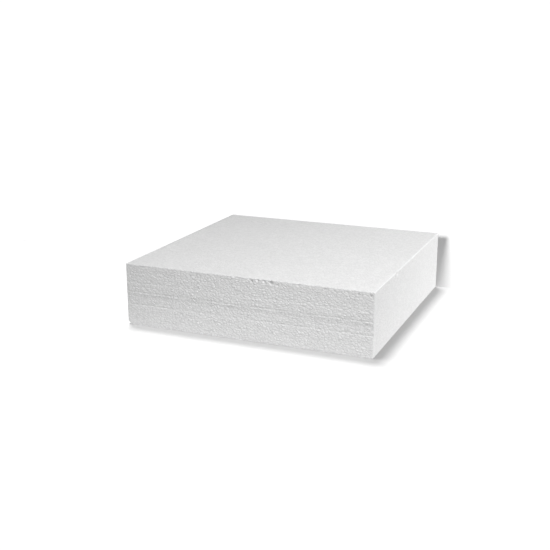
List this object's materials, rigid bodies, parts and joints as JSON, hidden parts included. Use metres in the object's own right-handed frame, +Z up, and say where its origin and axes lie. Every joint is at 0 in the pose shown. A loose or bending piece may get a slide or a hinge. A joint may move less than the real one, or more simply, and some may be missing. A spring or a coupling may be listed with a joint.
{
  "type": "foam block",
  "caption": "Rectangular block of white expanded bead foam, low and nearly square, with a rough sawn front and worn edges.",
  "frame": {"origin": "middle of the underside, on the surface that the block stands on", "axes": "+X to the right along the sawn front, +Y towards the back, +Z up"},
  "size_m": [0.305, 0.295, 0.075],
  "materials": {
    "foam": "matt white expanded bead foam"
  },
  "bodies": {
    "root": {"foam_block": "foam"}
  },
  "joints": []
}
